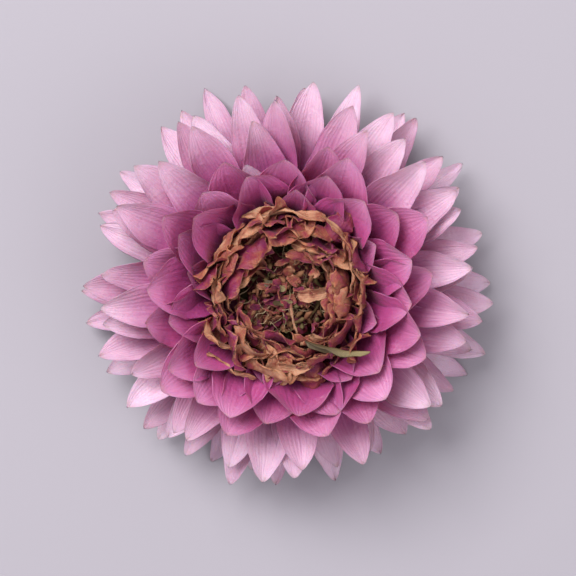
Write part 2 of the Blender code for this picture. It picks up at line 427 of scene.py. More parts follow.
class BladeTree(GrowthTree):
    """Bends one thin closed blade along the arc of every bract.

    A blade's u runs from -1 to 1 across it, and its v from 0 at the claw to 1 at the tip. Each blade's
    phase moves it to a stretch of noise of its own.

    Attributes:
        tip_crowding: Power by which the stations crowd towards the tip.
        claw_rate: The blade ripples and folds freely from 1 / claw_rate of its length on.
        tip_rate: The blade thins over the last 1 / tip_rate of its length.
        tip_thickness: Share of its thickness that it keeps at the tip.
        ripple_power: Power by which the ripples grow towards the sides.
        side_step: How far the ripples of the two sides are out of step, in radians.
        hook_power: Power by which the tip's hook grows along the blade.
        rest_height: How high a blade's middle stays above the surface, as a share of its thickness.
    """

    tip_crowding: float = 1.5
    claw_rate: float = 3.0
    tip_rate: float = 7.0
    tip_thickness: float = 0.25
    ripple_power: float = 2.5
    side_step: float = 1.3
    hook_power: float = 5.0
    rest_height: float = 0.55

    def __init__(self) -> None:
        """Lays out the tree."""
        super().__init__("Bract blades")
        tube, across, over, along = self.unit_tube(self.count("Around", 20), self.count("Along", 26))
        stations = self.value(self.entry.outputs["Along"])
        v = 1.0 - (1.0 - along) ** self.tip_crowding
        claw_end, tip_end = (along * stations).at_most(1.0), ((1.0 - along) * stations).at_most(1.0)
        tube = self.store(tube, u=across, v=v, face=over * claw_end * tip_end, closing=claw_end)
        sheet = self.store(self.on_points(tube), crease=self.creased())
        self.finish(sheet, self.bent())

    def creased(self) -> Field:
        """How far each place is pushed out or in by folds that run mostly along the blade.

        Returns:
            Noise from 0 to 1.
        """
        folds = self.number("Folds", 1.0)
        u, v, phase = (self.carried(name) for name in ("u", "v", "phase"))
        place = self.vector(u * folds, v * folds * 1.4, phase * 11.0)
        return self.noise(place, 1.0, 3.0, 0.6)

    def half_width(self, v: Field) -> Field:
        """Half the blade's width: a claw that widens to its widest place and then runs out to the tip.

        Args:
            v: How far along the blade it is.

        Returns:
            The half width.
        """
        claw, widest, point = (
            self.number("Claw", 0.5), self.number("Widest", 0.6), self.number("Point", 0.8)
        )
        swell = ((v / widest).at_most(1.0) * (math.pi / 2)).sin()
        taper = (1.0 - v ** 4.0) ** point
        return self.carried("half_width") * (claw + (1.0 - claw) * swell) * taper

    def bent(self) -> bpy.types.NodeSocket:
        """Place of each point of each blade.

        Returns:
            The position socket.
        """
        u, v, face, closing = (self.carried(name) for name in ("u", "v", "face", "closing"))
        length, phase = self.carried("length"), self.carried("phase")
        thickness = self.number("Thickness", 0.12 * MM)
        ragged, crumple = self.number("Ragged", 0.0), self.number("Crumple", 0.0)
        ripple, waves = self.number("Ripple", 0.0), self.number("Waves", 2.0)

        # Seen along the blade, the outline wanders a little and each side ripples on its own.
        side_sign = u.math("SIGN")
        rim_place = self.vector(v * 6.0, side_sign * 3.0, phase * 7.0)
        rim_noise = self.noise(rim_place, 1.0, 2.0) - 0.5
        wide = self.half_width(v) * (1.0 + rim_noise * ragged) * closing
        fold = self.carried("crease") - 0.5
        tug = self.noise(self.vector(v * 2.0, phase * 5.0, u * 0.6), 1.6, 2.0) - 0.5
        wave = (v * waves * (2 * math.pi) + phase * 20.0 + side_sign * self.side_step).sin()
        free = (v * self.claw_rate).at_most(1.0)

        side = wide * u
        rise = wide * u.size() * (self.carried("cup") * 2.0 * u.size() + self.number("Keel", 0.0))
        rise = rise + wave * ripple * wide * u.size() ** self.ripple_power * free
        rise = rise + fold * crumple * length * free
        rise = rise + self.carried("hook") * length * v ** self.hook_power
        turn = self.carried("roll") + self.carried("twist") * v
        turned_side = side * turn.cos() - rise * turn.sin()
        rise = side * turn.sin() + rise * turn.cos()
        side = turned_side + self.carried("sway") * length * v * v + tug * crumple * length * free
        before_tip = ((1.0 - v) * self.tip_rate).at_most(1.0)
        skin = face * thickness * 0.5 * (before_tip * (1.0 - self.tip_thickness) + self.tip_thickness)
        side = side - skin * turn.sin()
        skin = skin * turn.cos()

        # The centre-line is an arc: its mean slope up to v is the lift plus half the turn made so far,
        # and its chord is its length times sin(x) / x of that half turn, here by the first terms.
        half_turn = self.carried("curl") * v * 0.5
        chord = 1.0 - half_turn * half_turn / 6.0 + half_turn ** 2.0 * half_turn ** 2.0 / 120.0
        reach = length * v * chord
        slope = self.carried("lift") + half_turn
        final_slope = slope + half_turn
        run = reach * slope.cos() - (rise + skin) * final_slope.sin()
        height = self.carried("root_height") + reach * slope.sin() + rise * final_slope.cos()
        height = height.at_least(thickness * self.rest_height) + skin * final_slope.cos()
        azimuth, root = self.carried("azimuth"), self.carried("root_radius")
        heading = azimuth + self.carried("yaw")
        x = root * azimuth.cos() + run * heading.cos() - side * heading.sin()
        y = root * azimuth.sin() + run * heading.sin() + side * heading.cos()
        return self.vector(x, y, height)


class DustTree(GrowthTree):
    """Grows thin tapered tubes, each from its own foot: florets with flared mouths, or fine bristles.

    Attributes:
        mouth_power: Power by which a tube widens to its mouth.
        lobe_power: Power by which its lobes grow along it.
        droop_power: Power by which its loss of height grows along it.
        droop_drop: How much height it loses to its droop, as a share of its length.
    """

    mouth_power: float = 6.0
    lobe_power: float = 3.0
    droop_power: float = 3.0
    droop_drop: float = 0.35

    def __init__(self) -> None:
        """Lays out the tree."""
        super().__init__("Florets and bristles")
        tube, x, y, along = self.unit_tube(self.count("Around", 8), self.count("Along", 7))
        stations = self.value(self.entry.outputs["Along"])
        closing = (along * stations).at_most(1.0) * ((1.0 - along) * stations).at_most(1.0)
        tube = self.store(tube, tx=x, ty=y, v=along, closing=closing)
        self.finish(self.on_points(tube), self.bent())

    def bent(self) -> bpy.types.NodeSocket:
        """Place of each point of each tube.

        Returns:
            The position socket.
        """
        x, y, v, closing = (self.carried(name) for name in ("tx", "ty", "v", "closing"))
        rise, thick, phase = (self.carried(name) for name in ("rise", "thick", "phase"))
        waist, mouth = self.number("Waist", 0.75), self.number("Mouth", 1.3)
        lobes, lobe_depth = self.number("Lobes", 5.0), self.number("Lobe depth", 0.25)
        crumple = self.number("Crumple", 0.1)

        flare = (v ** self.mouth_power) * (mouth - waist) + waist
        turn = y.math("ARCTAN2", x)
        lobe = 1.0 + (turn * lobes + phase * 9.0).sin() * lobe_depth * v ** self.lobe_power
        round_part = thick * flare * lobe * closing
        wander = self.noise(self.vector(v * 2.0, phase * 31.0, 0.0), 1.2, 2.0) - 0.5
        drift = self.noise(self.vector(phase * 17.0, v * 2.0, 4.0), 1.2, 2.0) - 0.5
        lean, droop = self.carried("lean"), self.carried("droop")
        out = rise * (v * lean.sin() + v * v * droop) + x * round_part
        out = out + wander * crumple * rise * v
        side = y * round_part + drift * crumple * rise * v
        dropped = v ** self.droop_power * droop.size() * self.droop_drop
        up = rise * (v * lean.cos() - dropped) - x * round_part * lean
        heading = self.carried("heading")
        world_x = self.carried("foot_x") + out * heading.cos() - side * heading.sin()
        world_y = self.carried("foot_y") + out * heading.sin() + side * heading.cos()
        return self.vector(world_x, world_y, self.carried("foot_z") + up)


@dataclass(frozen=True)
class Bract:
    """One papery bract: an arc in a plane through the head's axis, with a cupped blade along it."""

    azimuth: float
    root_radius: float
    root_height: float
    length: float
    half_width: float
    lift: float
    curl: float
    cup: float
    twist: float
    sway: float
    yaw: float = 0.0
    roll: float = 0.0

    def laid_down(self) -> "Bract":
        """Sets the lift so that the tip comes down to the surface the head lies on.

        Returns:
            The bract laid down.
        """
        half = self.curl / 2
        reach = self.length * math.sin(half) / half
        return replace(self, lift=-math.asin(self.root_height / reach) - half, twist=0.0)


# Outline of the receptacle, from the cut scar up its flank to the disc, as its solid has it.
RECEPTACLE_FLANK = (
    (2.2 * MM, 0.0),
    (2.5 * MM, 1.2 * MM),
    (3.9 * MM, 2.6 * MM),
    (5.0 * MM, 4.8 * MM),
    (5.7 * MM, 7.4 * MM),
    (5.5 * MM, 8.8 * MM),
)
RING_GAP = 0.35 * MM


def flank_radius(height: float) -> float:
    """Radius of the receptacle's flank at a height."""
    radii, heights = zip(*RECEPTACLE_FLANK)
    return float(np.interp(height, heights, radii))


# A whorl's fields that its blade tree takes, each as the input of that name.
BLADE_SIZES = (
    "around", "along", "claw", "widest", "point", "thickness",
    "ripple", "ragged", "crumple", "folds", "keel",
)


def bract_columns(bracts: list[Bract], draw: np.random.Generator) -> dict[str, object]:
    """Lists what a bract's point carries: its own sizes, and a phase and a tint that set it apart.

    Args:
        bracts: The bracts in their places.
        draw: Where the phases and tints come from.

    Returns:
        The numbers for each name, in the bracts' order.
    """
    columns = {name: [getattr(bract, name) for bract in bracts] for name in Bract.__dataclass_fields__}
    for name in ("phase", "tint"):
        columns[name] = draw.uniform(0.0, 1.0, len(bracts))
    return columns


@dataclass
class Whorl:
    """A run of the bract spiral that is one colour, as one piece that stands for its solid.

    Pairs are the values at the run's top and at its bottom.
    """

    node: str
    seed: int
    count: int
    turn: float
    root_height: Pair
    length: Pair
    width: Pair
    lift: Pair
    curl: Pair
    cup: Pair
    ring_wall: float
    ring_margin: Pair
    finish: "PaperFinish | WitheredFinish"
    depth: Pair
    ring_inset: float = 0.0
    root_depth: Pair = (0.5, 0.5)
    wander: float = 1.0
    resting: int = 0
    claw: float = 0.5
    widest: float = 0.6
    point: float = 0.8
    thickness: float = 0.13 * MM
    hook: float = 0.02
    ripple: float = 0.22
    ragged: float = 0.20
    crumple: float = 0.04
    folds: float = 1.4
    keel: float = 0.0
    around: int = 20
    along: int = 26
    broadened: float = 1.0
    uneven: Pair = (0.96, 1.0)
    stray: float = 0.13
    tucked: int = 0
    tucked_depth: float = 0.5
    tucked_rise: float = 0.35 * MM
    tucked_length: Pair = (4.0 * MM, 6.4 * MM)
    tucked_lift: Pair = (76.0, 64.0)

    def ring_inside(self, height: float) -> float:
        """Inner radius, at a height, of the ring that the bracts grow from."""
        return flank_radius(height) + RING_GAP - self.ring_inset

    def layout(self) -> list[Bract]:
        """Places the bracts, each a little different by the same seeded draw as the solid's.

        Returns:
            The bracts from the top of the spiral down, then the tucked ones.
        """
        draw = np.random.default_rng(self.seed)
        bracts = []
        for k in range(self.count):
            share = k / (self.count - 1)
            nudge = draw.uniform(-1.0, 1.0, 8) * self.wander
            height = between(self.root_height, share)
            bracts.append(
                Bract(
                    azimuth=self.turn + k * GOLDEN_ANGLE + math.radians(AZIMUTH_TURN) * nudge[1],
                    root_radius=self.ring_inside(height) + between(self.root_depth, share) * self.ring_wall,
                    root_height=height,
                    length=between(self.length, share) * (1 + LENGTH_SHARE * nudge[0]),
                    half_width=0.5 * between(self.width, share) * (1 + WIDTH_SHARE * nudge[2]),
                    lift=math.radians(between(self.lift, share) + LIFT_TURN * nudge[4]),
                    curl=math.radians(between(self.curl, share) + CURL_TURN * nudge[3]),
                    cup=between(self.cup, share) * (1 + CUP_SHARE * nudge[5]),
                    twist=math.radians(TWIST_TURN) * nudge[6],
                    sway=SWAY_SHARE * nudge[7],
                )
            )
        first_resting = self.count - self.resting
        free = [self.strayed(bract, draw.uniform(0.0, 1.0, 3)) for bract in bracts[:first_resting]]
        laid = [bract.laid_down() for bract in bracts[first_resting:]]
        return free + laid + self.tucked_layout(bracts[0])

    def strayed(self, bract: Bract, share: np.ndarray) -> Bract:
        """Ends a bract a little off its solid's length, on the same arc, and points it a little aside.

        Args:
            bract: The bract as its solid has it.
            share: Three draws from 0 to 1, for its end, its heading and its roll.

        Returns:
            The bract as it is seen.
        """
        kept = between(self.uneven, share[0])
        return replace(
            bract,
            length=bract.length * kept,
            half_width=bract.half_width * self.broadened,
            curl=bract.curl * kept,
            yaw=self.stray * (share[1] - 0.5) * 2,
            roll=self.stray * (share[2] - 0.5) * 4,
        )

    def tucked_layout(self, first: Bract) -> list[Bract]:
        """Carries the spiral on past its first bract with shorter ones, tucked in close to the next ring.

        Args:
            first: The spiral's first bract.

        Returns:
            The shorter bracts.
        """
        draw = np.random.default_rng(self.seed + TUCKED_SEED)
        found = []
        for k in range(self.tucked):
            share = (k + 0.5) / self.tucked
            nudge = draw.uniform(-1.0, 1.0, 4)
            height = first.root_height + self.tucked_rise * share
            found.append(
                replace(
                    first,
                    azimuth=self.turn - (k + 1) * GOLDEN_ANGLE + 0.08 * nudge[0],
                    root_radius=self.ring_inside(height) + self.tucked_depth * self.ring_wall,
                    root_height=height,
                    length=between(self.tucked_length, 1.0 - share) * (1 + 0.08 * nudge[1]),
                    half_width=first.half_width * (0.95 - 0.2 * share) * (1 + 0.1 * nudge[2]),
                    lift=math.radians(between(self.tucked_lift, 1.0 - share)),
                    twist=math.radians(6.0) * nudge[3],
                )
            )
        return found

    def columns(self, bracts: list[Bract]) -> dict[str, object]:
        """Lists what each bract's point carries, with the draws that only its looks use.

        Args:
            bracts: The bracts in their places.

        Returns:
            The numbers for each name, in the bracts' order.
        """
        draw = np.random.default_rng(self.seed + LOOKS_SEED)
        columns = bract_columns(bracts, draw)
        count = len(bracts)
        columns["hook"] = self.hook * draw.uniform(-0.6, 1.4, count)
        columns["hook"][self.count - self.resting:self.count] = 0.0
        depths = [between(self.depth, min(1.0, k / (self.count - 1))) for k in range(self.count)]
        columns["depth"] = depths + [self.depth[0]] * (count - self.count)
        return columns

    def build(self, blades: BladeTree) -> bpy.types.Object:
        """Grows the bracts and the ring that they stand on.

        Args:
            blades: The tree that bends a blade on each bract.

        Returns:
            The whorl as one mesh object.
        """
        points = carrying_points(self.node + "_points", self.columns(self.layout()))
        inputs = self.blade_inputs() | {"Finish": self.finish.material()}
        grown = blades.grow(self.node + "_paper", points, inputs)
        ring = turned(self.node + "_ring", self.ring_outline(), closed=True)
        ring.data.materials.append(grown.data.materials[0])
        return merged(grown, [ring])

    def blade_inputs(self) -> dict[str, float]:
        """What the blade tree is told about this whorl's paper."""
        return {name.capitalize(): getattr(self, name) for name in BLADE_SIZES}

    def ring_outline(self) -> list[Pair]:
        """Outlines the ring, up its inside and down its outside.

        Returns:
            The points as (radius, height).
        """
        top = self.root_height[0] + self.ring_margin[0]
        bottom = self.root_height[1] - self.ring_margin[1]
        levels = np.linspace(bottom, top, 4)
        inside = [(self.ring_inside(z), float(z)) for z in levels]
        return inside + [(r + self.ring_wall, z) for r, z in reversed(inside)]


def turned(name: str, outline: list[Pair], closed: bool, sides: int = TURNED_SIDES) -> bpy.types.Object:
    """Turns an outline about Z into a smooth surface.

    Args:
        name: Name of the object.
        outline: Points as (radius, height), up the inside first or from the lower pole up.
        closed: Whether the outline is a closed loop off the axis; otherwise its ends lie on the axis.
        sides: Stretches round the axis.

    Returns:
        The linked object, with its faces pointing outwards.
    """
    rings = outline if closed else outline[1:-1]
    angles = [2 * math.pi * side / sides for side in range(sides)]
    points = [(r * math.cos(a), r * math.sin(a), z) for r, z in rings for a in angles]
    last = len(rings)
    faces = []
    for ring in range(last if closed else last - 1):
        above = (ring + 1) % last
        for side in range(sides):
            after = (side + 1) % sides
            low, high = ring * sides, above * sides
            quad = (low + side, low + after, high + after, high + side)
            faces.append(quad[::-1] if closed else quad)
    if not closed:
        foot, crown = len(points), len(points) + 1
        points += [(0.0, 0.0, outline[0][1]), (0.0, 0.0, outline[-1][1])]
        for side in range(sides):
            after = (side + 1) % sides
            faces.append((foot, after, side))
            faces.append((crown, (last - 1) * sides + side, (last - 1) * sides + after))
    mesh = bpy.data.meshes.new(name)
    mesh.from_pydata(points, [], faces)
    mesh.shade_smooth()
    surface = bpy.data.objects.new(name, mesh)
    bpy.context.scene.collection.objects.link(surface)
    return surface


def merged(first: bpy.types.Object, others: list[bpy.types.Object]) -> bpy.types.Object:
    """Joins the others' meshes into the first object's own.

    Args:
        first: The object that stays.
        others: The objects that go into it.

    Returns:
        The first object.
    """
    with bpy.context.temp_override(active_object=first, selected_editable_objects=[first, *others]):
        bpy.ops.object.join()
    return first


class PaperGroups:
    """The effects that several finishes share, each built once as a shader node group."""

    @staticmethod
    def group(
        name: str, inputs: dict[str, float], outputs: tuple[str, ...]
    ) -> tuple[Tree, dict[str, Field], bpy.types.Node]:
        """Starts a group.

        Args:
            name: Name of the group.
            inputs: Each number input with its default.
            outputs: Names of the number outputs.

        Returns:
            The tree, its inputs as values, and its output node.
        """
        tree = Tree(bpy.data.node_groups.new(name, "ShaderNodeTree"))
        for key, default in inputs.items():
            socket = tree.tree.interface.new_socket(key, in_out="INPUT", socket_type="NodeSocketFloat")
            socket.default_value = default
        for key in outputs:
            tree.tree.interface.new_socket(key, in_out="OUTPUT", socket_type="NodeSocketFloat")
        entry = tree.add("NodeGroupInput")
        values = {key: tree.value(entry.outputs[key]) for key in inputs}
        return tree, values, tree.add("NodeGroupOutput")

    @staticmethod
    def real_place(tree: Tree, size: Field) -> bpy.types.NodeSocket:
        """Object coordinates counted in a real size."""
        feeds = {0: tree.add("ShaderNodeTexCoord").outputs["Object"], "Scale": 1.0 / size}
        return tree.add("ShaderNodeVectorMath", feeds, operation="SCALE").outputs[0]

    def __init__(self) -> None:
        """Builds the groups."""
        self.veins = self.make_veins()
        self.blotches = self.make_blotches()
        self.cockle = self.make_cockle()

    def make_veins(self) -> bpy.types.NodeTree:
        """Lays out fine parallel veins that run along a blade and draw together at its tip.

        Returns:
            The group, with the veins' shade and their relief.
        """
        inputs = {"Across": 0.0, "Along": 0.0, "Seed": 0.0, "Count": 9.0}
        tree, given, out = self.group("Parallel veins", inputs, ("Shade", "Relief"))
        place = tree.vector(given["Across"] * given["Count"], given["Along"] * 1.1, given["Seed"] * 37.0)
        coarse = tree.noise(place, 1.0, 2.0, 0.6)
        fine = tree.noise(place, 3.1, 3.0, 0.65)
        tree.join(coarse * 0.5 + fine * 0.5, out.inputs["Shade"])
        ribs = (given["Across"] * given["Count"] * 3.6 + coarse * 4.0).sin()
        tree.join(ribs * 0.30 + fine * 1.2, out.inputs["Relief"])
        return tree.tree

    def make_blotches(self) -> bpy.types.NodeTree:
        """Lays out soft irregular patches of a real size, with finer mottling inside them.

        Returns:
            The group, with the patches and their grain.
        """
        inputs = {"Size": 1.5 * MM, "Contrast": 1.0}
        tree, given, out = self.group("Blotches", inputs, ("Patches", "Grain"))
        scaled = self.real_place(tree, given["Size"])
        patches = tree.noise(scaled, 1.0, 3.0, 0.55)
        tree.join(((patches - 0.5) * given["Contrast"] + 0.5).step(0.3, 0.7), out.inputs["Patches"])
        tree.join(tree.noise(scaled, 6.0, 3.0, 0.6), out.inputs["Grain"])
        return tree.tree

    def make_cockle(self) -> bpy.types.NodeTree:
        """Lays out the small dents and buckles of dry paper, at a real size.

        Returns:
            The group, with their relief.
        """
        tree, given, out = self.group("Cockle", {"Size": 0.8 * MM}, ("Relief",))
        scaled = self.real_place(tree, given["Size"])
        soft = tree.noise(scaled, 1.0, 2.0, 0.5)
        sharp = (tree.noise(scaled, 2.3, 2.0, 0.5) - 0.5).size()
        tree.join(soft * 0.6 + sharp * 0.8, out.inputs["Relief"])
        return tree.tree


class Surface(Tree):
    """A material under construction: its Principled shader and what the surface carries."""

    def __init__(self, name: str, groups: PaperGroups) -> None:
        """Makes the material.

        Args:
            name: Name of the material.
            groups: The shared effects.
        """
        self.material = bpy.data.materials.new(name)
        self.material.use_nodes = True
        self.groups = groups
        super().__init__(self.material.node_tree)
        self.shader = self.tree.nodes["Principled BSDF"]

    def carried(self, name: str) -> Field:
        """The value that the mesh carries under a name."""
        return self.value(self.add("ShaderNodeAttribute", attribute_name=name).outputs["Fac"])

    def mix(self, factor: "Field | float", first: object, second: object, blend: str = "MIX") -> object:
        """Mixes two colours.

        Args:
            factor: How much of the second colour there is.
            first: A colour or a colour socket.
            second: A colour or a colour socket.
            blend: The blend type.

        Returns:
            The mixed colour's socket.
        """
        node = self.add("ShaderNodeMix", {"Factor": factor}, data_type="RGBA", blend_type=blend)
        for given, key in ((first, "A_Color"), (second, "B_Color")):
            self.join(given, next(socket for socket in node.inputs if socket.identifier == key))
        return next(socket for socket in node.outputs if socket.identifier == "Result_Color")

    def shaded(self, colour: object, shade: Field) -> object:
        """A colour made lighter or darker by a value round 1."""
        grey = self.add("ShaderNodeCombineColor", {"Red": shade, "Green": shade, "Blue": shade}).outputs[0]
        return self.mix(1.0, colour, grey, "MULTIPLY")

    def fed(self, group: bpy.types.NodeTree, feeds: dict[str, object]) -> bpy.types.Node:
        """Places a shared effect.

        Args:
            group: The effect.
            feeds: A plain value, a socket or a Field for each input, by the input's name.

        Returns:
            The effect's node.
        """
        node = self.add("ShaderNodeGroup", node_tree=group)
        for key, given in feeds.items():
            self.join(given, node.inputs[key])
        return node

    def relief(self, height: Field, depth: float) -> None:
        """Puts a fine relief of a real depth on the surface."""
        feeds = {"Height": height, "Distance": depth, "Strength": 1.0}
        self.join(self.add("ShaderNodeBump", feeds).outputs[0], self.shader.inputs["Normal"])

    def fix(self, **constants: float) -> None:
        """Sets plain numbers on the shader's own sockets, with underscores for spaces."""
        for key, value in constants.items():
            self.shader.inputs[key.replace("_", " ")].default_value = value


@dataclass(frozen=True)
class PaperFinish:
    """Satin papery bract: a deep root that fades to the tip, fine veins, soft patches and a darker rim of
    painted shade.
    """

    name: str
    root: Colour
    body: Colour
    tip: Colour
    # The rim colour is painted shade along the bract's edges.
    rim: Colour
    fade: Pair
    groups: PaperGroups
    dry: Colour = display(188, 146, 122)
    rim_strength: float = 0.35
    roughness: float = 0.40
    vein_shift: float = 0.30
    tint_shift: float = 0.16
    depth_shift: float = 0.30
    patch_strength: float = 0.22
    patch_size: float = 2.2 * MM
    cockle_size: float = 1.1 * MM
    relief_depth: float = 0.08 * MM
    subsurface_reach: float = 0.6 * MM

    def material(self) -> bpy.types.Material:
        """Builds the finish.

        Returns:
            The material.
        """
        surface = Surface(self.name, self.groups)
        u, v, tint = (surface.carried(name) for name in ("u", "v", "tint"))
        phase, depth = surface.carried("phase"), surface.carried("depth")
        veins = surface.fed(self.groups.veins, {"Across": u, "Along": v, "Seed": phase})
        shade = surface.value(veins.outputs["Shade"])
        patches = surface.fed(self.groups.blotches, {"Size": self.patch_size})
        patch = surface.value(patches.outputs["Patches"])
        cockle = surface.value(surface.fed(self.groups.cockle, {"Size": self.cockle_size}).outputs["Relief"])

        place = v + (shade - 0.5) * self.vein_shift + (tint - 0.5) * self.tint_shift
        place = place + (depth - 0.5) * self.depth_shift
        colour = surface.mix(place.step(0.10, self.fade[0]), self.root, self.body)
        colour = surface.mix(place.step(*self.fade) * (0.75 + 0.25 * tint), colour, self.tip)
        # The rim is painted shade: a darker colour along both edges that fades towards the tip.
        rim = u.size().step(0.72, 1.0) * self.rim_strength * (1.0 - v * 0.5)
        colour = surface.mix(rim, colour, self.rim)
        colour = surface.mix((1.0 - patch) * self.patch_strength, colour, self.body)
        grain = surface.value(patches.outputs["Grain"])
        dry_tip = (v + (grain - 0.5) * 0.16).step(0.94, 1.0) * 0.25
        colour = surface.mix(dry_tip, colour, self.dry)
        colour = surface.mix(grain.step(0.66, 0.72) * 0.22, colour, self.dry)
        light = 0.82 + shade * 0.28 + (tint - 0.5) * 0.14
        surface.join(surface.shaded(colour, light), surface.shader.inputs["Base Color"])
        surface.join(self.roughness + (patch - 0.5) * 0.16, surface.shader.inputs["Roughness"])
        ribs = surface.value(veins.outputs["Relief"])
        surface.relief(ribs * 0.45 + cockle * 1.4, self.relief_depth)
        surface.fix(Sheen_Weight=0.12, Sheen_Roughness=0.4, Specular_IOR_Level=0.45)
        surface.fix(Subsurface_Weight=0.18, Subsurface_Scale=self.subsurface_reach)
        return surface.material


class Tone(Enum):
    """Where a shrivelled bract's colour lies, from its darkest to its palest."""

    PURPLE = 0.08
    RUST = 0.36
    OCHRE = 0.64
    TAN = 0.92


@dataclass(frozen=True)
class WitheredFinish:
    """Crumpled dead paper: purple, rust, ochre and tan by how far each shred has dried, with painted shade
    in its sunken folds and a painted highlight on its raised folds and along its edges.
    """

    name: str
    stops: tuple[Colour, Colour, Colour, Colour]
    # The rim colour is a painted highlight along the edges and the tip.
    rim: Colour
    groups: PaperGroups
    patch_size: float = 1.3 * MM
    cockle_size: float = 0.7 * MM
    relief_depth: float = 0.12 * MM
    subsurface_reach: float = 0.6 * MM

    def material(self) -> bpy.types.Material:
        """Builds the finish.

        Returns:
            The material.
        """
        surface = Surface(self.name, self.groups)
        u, v, tone = (surface.carried(name) for name in ("u", "v", "tone"))
        phase, crease = surface.carried("phase"), surface.carried("crease")
        veins = surface.fed(self.groups.veins, {"Across": u, "Along": v, "Seed": phase, "Count": 5.0})
        shade = surface.value(veins.outputs["Shade"])
        patches = surface.fed(self.groups.blotches, {"Size": self.patch_size, "Contrast": 1.5})
        patch, grain = (surface.value(patches.outputs[key]) for key in ("Patches", "Grain"))
        cockle = surface.value(surface.fed(self.groups.cockle, {"Size": self.cockle_size}).outputs["Relief"])

        # The folds also move the colour: towards tan where a fold raises the paper and towards purple where
        # it sinks it. This is a painted highlight on the raised folds and painted shade in the sunken ones.
        place = tone + (patch - 0.5) * 0.30 + (grain - 0.5) * 0.30 + (crease - 0.5) * 1.3 + (v - 0.5) * 0.25
        ramp = surface.add("ShaderNodeValToRGB", {"Fac": place})
        stops = ramp.color_ramp.elements
        for level, colour in zip(Tone, self.stops):
            stop = stops.new(level.value)
            stop.color = colour
        stops.remove(stops[0])
        stops.remove(stops[-1])
        # Painted highlight: the colour turns paler near the edges and the tip.
        edge = (u * u).math("MAXIMUM", (v - 0.5) * 2.0)
        rim = (edge + (grain - 0.5) * 0.5).step(0.84, 1.05) * 0.8
        colour = surface.mix(rim, ramp.outputs["Color"], self.rim)
        surface.join(surface.shaded(colour, 0.72 + shade * 0.5), surface.shader.inputs["Base Color"])
        surface.join(0.5 + (grain - 0.5) * 0.3, surface.shader.inputs["Roughness"])
        surface.relief(cockle + surface.value(veins.outputs["Relief"]) * 0.4, self.relief_depth)
        surface.fix(Sheen_Weight=0.05, Specular_IOR_Level=0.35)
        surface.fix(Subsurface_Weight=0.15, Subsurface_Scale=self.subsurface_reach)
        return surface.material


@dataclass(frozen=True)
class DustFinish:
    """Dry floret or bristle: one colour at its foot, another at its tip, and some of a third."""

    name: str
    foot: Colour
    tip: Colour
    odd: Colour
    groups: PaperGroups
    roughness: float = 0.7
    grain_size: float = 0.5 * MM
    relief_depth: float = 0.05 * MM

    def material(self) -> bpy.types.Material:
        """Builds the finish.

        Returns:
            The material.
        """
        surface = Surface(self.name, self.groups)
        v, tint = surface.carried("v"), surface.carried("tint")
        patches = surface.fed(self.groups.blotches, {"Size": self.grain_size})
        grain = surface.value(patches.outputs["Grain"])
        colour = surface.mix((v + (grain - 0.5) * 0.6).step(0.25, 0.95), self.foot, self.tip)
        colour = surface.mix(tint.step(0.62, 0.8), colour, self.odd)
        surface.join(surface.shaded(colour, 0.7 + grain * 0.6), surface.shader.inputs["Base Color"])
        surface.join(self.roughness + (grain - 0.5) * 0.2, surface.shader.inputs["Roughness"])
        surface.relief(grain, self.relief_depth)
        return surface.material


@dataclass(frozen=True)
class TissueFinish:
    """Dry green-brown stem tissue, streaked along its length, with pale pith showing in the cut."""

    name: str
    skin: Colour
    streak: Colour
    pith: Colour
    scar_radius: float
    groups: PaperGroups
    scar_depth: float = 0.25 * MM
    grain_size: float = 0.6 * MM
    relief_depth: float = 0.15 * MM
    streaks_round: float = 6.0
    streaks_up: float = 180.0

    def material(self) -> bpy.types.Material:
        """Builds the finish.

        Returns:
            The material.
        """
        surface = Surface(self.name, self.groups)
        place = surface.add("ShaderNodeTexCoord").outputs["Object"]
        parts = surface.add("ShaderNodeSeparateXYZ", {"Vector": place}).outputs
        x, y, z = (surface.value(part) for part in parts)
        angle = y.math("ARCTAN2", x)
        across, along = angle.sin() * self.streaks_round, angle.cos() * self.streaks_round
        streaks = surface.noise(surface.vector(across, along, z * self.streaks_up), 1.6, 4.0, 0.6)
        grain = surface.value(surface.fed(self.groups.blotches, {"Size": self.grain_size}).outputs["Grain"])
        colour = surface.mix(streaks.step(0.35, 0.65), self.skin, self.streak)
        from_axis = (x * x + y * y).math("SQRT") / self.scar_radius
        low = 1.0 - (z / self.scar_depth).at_most(1.0)
        inside = 1.0 - (from_axis + (grain - 0.5) * 0.3).step(0.6, 0.85)
        colour = surface.mix(low * inside, colour, self.pith)
        surface.join(surface.shaded(colour, 0.7 + grain * 0.6), surface.shader.inputs["Base Color"])
        surface.join(0.75 + (grain - 0.5) * 0.2, surface.shader.inputs["Roughness"])
        surface.relief(streaks + grain * 0.5, self.relief_depth)
        return surface.material


